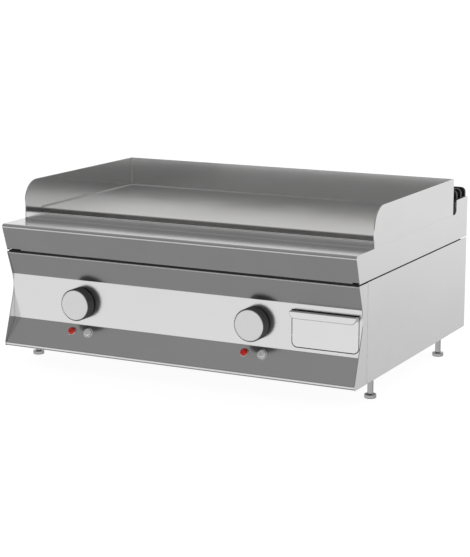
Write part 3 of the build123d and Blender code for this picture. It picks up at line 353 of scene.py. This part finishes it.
MATERIALS = {
    "satin_steel": lambda: steel("satin_steel", 0.80, 0.20),
    "polished_steel": lambda: steel("polished_steel", 0.78, 0.14),
    "plate_steel": lambda: cooking_plate("plate_steel", 0.82, 0.33),
    "cast_iron": lambda: moulded("cast_iron", (0.02, 0.02, 0.021), 0.42, 250, 0.6, 3.0),
    "black_plastic": lambda: moulded("black_plastic", (0.1, 0.094, 0.098), 0.42, wear_and_highlight=2.4),
    "grey_plastic": lambda: moulded("grey_plastic", (0.9, 0.9, 0.92), 0.2, 400, 0.05, 1.05,
                                    coat_weight=1.0),
    "red_lens": lambda: moulded("red_lens", (0.78, 0.02, 0.008), 0.12, 200, 0.02, 1.1,
                                coat_weight=0.5),
    "chrome": lambda: steel("chrome", 0.9, 0.06, EVEN, 0.005),
    "cap_metal": lambda: spun_disc("cap_metal", 0.84, 0.3),
    "brass": lambda: steel("brass", 0.8, 0.25, tint=(1, 0.82, 0.5)),
    "galvanised": lambda: steel("galvanised", 0.55, 0.4, EVEN, 0.05, vary=0.12),
    "dark_sheet": lambda: moulded("dark_sheet", (0.008, 0.008, 0.008), 0.6),
    "spring_steel": lambda: steel("spring_steel", 0.5, 0.3, EVEN),
    "foot_steel": lambda: steel("foot_steel", 0.42, 0.16, (1, 1, 40)),
    "ground_weld": lambda: steel("ground_weld", 0.95, 0.35, EVEN, painted_shade=0.0),
    "label_metal": lambda: steel("label_metal", 0.7, 0.35),
}
made_materials = {}


def material_of(name):
    """The material of a record slot or finish, made on first use."""
    if name not in made_materials:
        made_materials[name] = MATERIALS[name]()
    return made_materials[name]


def paint_nodes():
    """Give every CAD node the material of its slot."""
    slots = {part["node"]: part["material_slot"] for part in frame["record"]["subparts"]}
    for name, node in frame["nodes"].items():
        node.data.materials.clear()
        node.data.materials.append(material_of(slots[name]))


# ---- small visible pieces -----------------------------------------------------------------
def node_box(name):
    """Lowest and highest corner of a CAD node."""
    node = frame["nodes"][name]
    corners = [node.matrix_world @ Vector(corner) for corner in node.bound_box]
    low = Vector(min(c[axis] for c in corners) for axis in range(3))
    high = Vector(max(c[axis] for c in corners) for axis in range(3))
    return low, high


def add_piece(name, mesh_builder, finish, smooth=True):
    """New mesh object in one finish, on the cabinet."""
    shape = bmesh.new()
    mesh_builder(shape)
    bmesh.ops.recalc_face_normals(shape, faces=shape.faces)
    mesh = bpy.data.meshes.new(name)
    shape.to_mesh(mesh)
    shape.free()
    piece = bpy.data.objects.new(name, mesh)
    bpy.context.scene.collection.objects.link(piece)
    for polygon in mesh.polygons:
        polygon.use_smooth = smooth
    mesh.materials.append(material_of(finish))
    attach(piece, "cabinet")


def loft(shape, rings):
    """Capped skin between closed rings of points; each ring has the same count."""
    rows = [[shape.verts.new(point) for point in ring] for ring in rings]
    for first, second in zip(rows, rows[1:]):
        for index in range(len(first)):
            following = (index + 1) % len(first)
            shape.faces.new((first[index], first[following], second[following], second[index]))
    shape.faces.new(rows[0])
    shape.faces.new(list(reversed(rows[-1])))


def quarter(steps):
    """Angles of a quarter turn in equal steps, in radians."""
    return [math.radians(90) * step / steps for step in range(steps + 1)]


SEAM_RADIUS = 0.0026
SEAM_STEPS = 6
GUARD_WALL = 0.002            # sheet thickness of the splash guard
SEAM_START = 0.003            # from the plate's front edge


def plate_seam(shape):
    """Ground weld fillet where the plate meets the splash guard, on three sides."""
    guard_high = node_box("splash_guard")[1]
    plate_low, plate_high = node_box("griddle_plate")
    side = guard_high.x - GUARD_WALL
    back = guard_high.y - GUARD_WALL
    front = plate_low.y + SEAM_START
    level = plate_high.z
    rings = []
    for x, y, inward in ((-side, front, (1, 0)), (-side, back, (1, -1)),
                         (side, back, (-1, -1)), (side, front, (-1, 0))):
        ring = [(x, y, level)]
        for angle in quarter(SEAM_STEPS):
            out = SEAM_RADIUS * (1 - math.sin(angle))
            up = SEAM_RADIUS * (1 - math.cos(angle))
            ring.append((x + inward[0] * out, y + inward[1] * out, level + up))
        rings.append(ring)
    loft(shape, rings)


LABEL_SIZE = (0.078, 0.046, 0.0008)
LABEL_CORNER = 0.004
LABEL_STEPS = 5
LABEL_ACROSS = 0.16           # its middle, right of the panel's
LABEL_UP = 0.055              # its middle, above the panel's lower edge
RIVET_RADIUS = 0.0021
RIVET_FLATNESS = 0.6
RIVET_TILTS = (0, 28, 56, 84)
RIVET_SIDES = 12


def rounded_outline(width, height, corner, steps):
    """Points of a rounded rectangle about the origin."""
    across = width / 2 - corner
    up = height / 2 - corner
    centres = ((across, up), (-across, up), (-across, -up), (across, -up))
    return [(centre[0] + corner * math.cos(math.radians(90 * index) + turn),
             centre[1] + corner * math.sin(math.radians(90 * index) + turn))
            for index, centre in enumerate(centres) for turn in quarter(steps)]


def rivet(shape, spot):
    """Low domed rivet head standing on the rear of a spot."""
    rings = []
    for tilt in map(math.radians, RIVET_TILTS):
        radius = RIVET_RADIUS * math.cos(tilt)
        lift = RIVET_RADIUS * RIVET_FLATNESS * math.sin(tilt)
        rings.append([spot + Vector((radius * math.cos(turn), lift, radius * math.sin(turn)))
                      for turn in (math.tau * side / RIVET_SIDES for side in range(RIVET_SIDES))])
    loft(shape, rings)


def rating_plate(shape):
    """Blank metal data plate with four rivets on the rear panel."""
    panel_low, panel_high = node_box("back_panel")
    centre = Vector((LABEL_ACROSS, panel_high.y, panel_low.z + LABEL_UP))
    width, height, thick = LABEL_SIZE
    edge = rounded_outline(width, height, LABEL_CORNER, LABEL_STEPS)
    loft(shape, [[centre + Vector((u, lift, v)) for u, v in edge] for lift in (0.0, thick)])
    for side in (-1, 1):
        for level in (-1, 1):
            rivet(shape, centre + Vector((side * (width / 2 - LABEL_CORNER), thick,
                                          level * (height / 2 - LABEL_CORNER))))


LOUVRE_ROWS = 5
LOUVRE_COLUMNS = 4
LOUVRE_START = (-0.23, 0.15)
LOUVRE_PITCH = (0.12, 0.014)
LOUVRE_SIZE = (0.09, 0.005)
LOUVRE_CROWN = 0.0025         # how far a hood rises past its slot
LOUVRE_WALL = 0.001
LOUVRE_ENDS = 0.0012          # how far a hood stands out at its ends
LOUVRE_SWELL = 0.0045         # and how much more at its middle
LOUVRE_BLEND = 6              # part of the length, as 1 in this many, over which it swells
LOUVRE_SPANS = 8
LOUVRE_STEPS = 6


def louvre_hood(shape, left, foot, rear):
    """One pressed hood over an air slot, open at the bottom."""
    tall = LOUVRE_SIZE[1] + LOUVRE_CROWN
    rings = []
    for span in range(LOUVRE_SPANS + 1):
        along = span / LOUVRE_SPANS
        x = left + LOUVRE_SIZE[0] * along
        swell = min(1.0, LOUVRE_BLEND * min(along, 1 - along)) ** 0.5
        reach = LOUVRE_ENDS + LOUVRE_SWELL * swell
        outer, inner = [[(x, rear + (reach - wall) * math.cos(angle),
                          foot + (tall - wall) * math.sin(angle))
                         for angle in quarter(LOUVRE_STEPS)] for wall in (0.0, LOUVRE_WALL)]
        rings.append(outer + list(reversed(inner)))
    loft(shape, rings)


def louvre_hoods(shape):
    """Rows of hoods over the air slots of the rear panel."""
    rear = node_box("back_panel")[1].y
    for row in range(LOUVRE_ROWS):
        for column in range(LOUVRE_COLUMNS):
            louvre_hood(shape, LOUVRE_START[0] + column * LOUVRE_PITCH[0],
                        LOUVRE_START[1] + row * LOUVRE_PITCH[1], rear)


bpy.context.scene.view_settings.view_transform = "Standard"
make_camera()
make_world()
make_floor()
paint_nodes()
add_piece("plate_seam", plate_seam, "ground_weld")
add_piece("rating_plate", rating_plate, "label_metal", smooth=False)
add_piece("louvre_hoods", louvre_hoods, "satin_steel")
